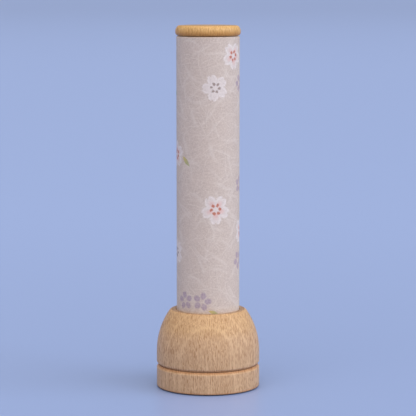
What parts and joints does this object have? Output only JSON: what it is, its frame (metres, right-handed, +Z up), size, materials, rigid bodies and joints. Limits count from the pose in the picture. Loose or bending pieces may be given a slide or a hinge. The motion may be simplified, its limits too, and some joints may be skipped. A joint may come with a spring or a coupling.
{
  "type": "needle case",
  "caption": "Upright paper-covered tube in a turned wooden bell base on a pull-off foot, closed by a round-edged wooden cap.",
  "frame": {"origin": "centre of the round standing face, under the foot pad", "axes": "+Z up along the tube's axis, from the foot to the cap; the paper's lap joint is at +Y and the front is at -Y"},
  "size_m": [0.041, 0.041, 0.144],
  "materials": {
    "beech": "satin",
    "cap_beech": "satin",
    "washi_paper": "satin",
    "tube_board": "matte",
    "lining_paper": "matte",
    "wool_felt": "matte",
    "pad_felt": "matte"
  },
  "bodies": {
    "foot": {"foot": "beech", "foot_pad": "pad_felt"},
    "case": {"bell": "beech", "tube_core": "tube_board", "tube_liner": "lining_paper", "washi_wrap": "washi_paper", "needle_cushion": "wool_felt"},
    "cap": {"cap": "cap_beech"}
  },
  "joints": [
    {"name": "case_slide", "type": "slide", "parent": "foot", "child": "case", "axis": [0, 0, 1], "range_m": [0, 0.03]},
    {"name": "cap_slide", "type": "slide", "parent": "case", "child": "cap", "axis": [0, 0, 1], "range_m": [0, 0.035]}
  ]
}
